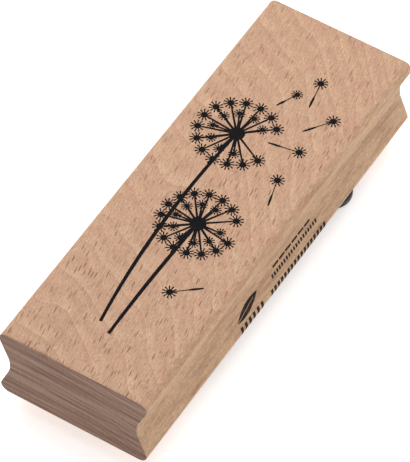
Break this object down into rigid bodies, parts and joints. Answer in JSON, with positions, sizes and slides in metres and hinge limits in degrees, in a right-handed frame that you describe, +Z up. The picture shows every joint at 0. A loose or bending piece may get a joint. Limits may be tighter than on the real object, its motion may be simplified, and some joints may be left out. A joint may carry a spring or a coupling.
{
  "type": "rubber stamp",
  "caption": "Wood-mounted rubber stamp: grooved beech block with an inked flower picture on top, and a foam cushion and trimmed rubber die below.",
  "frame": {"origin": "under the middle of the block, on the printing face of the die", "axes": "+Z up, away from the printing face; +Y along the grain and the length of the block, towards the flower heads' end; +X towards the side that carries the side mark"},
  "size_m": [0.04, 0.12, 0.0277],
  "materials": {
    "beech": "matte",
    "top_ink": "matte",
    "side_ink": "matte",
    "adhesive": "satin",
    "foam": "matte",
    "die_rubber": "matte"
  },
  "bodies": {
    "mount": {"beech_block": "beech", "index_print": "top_ink", "side_print": "side_ink", "block_adhesive": "adhesive", "foam_cushion": "foam"},
    "die": {"die_adhesive": "adhesive", "rubber_die": "die_rubber"}
  },
  "joints": [
    {"name": "cushion_press", "type": "slide", "parent": "mount", "child": "die", "axis": [0, 0, 1], "range_m": [0, 0.0008], "stiffness_N_per_m": 20000, "deforming": ["foam_cushion"]}
  ]
}
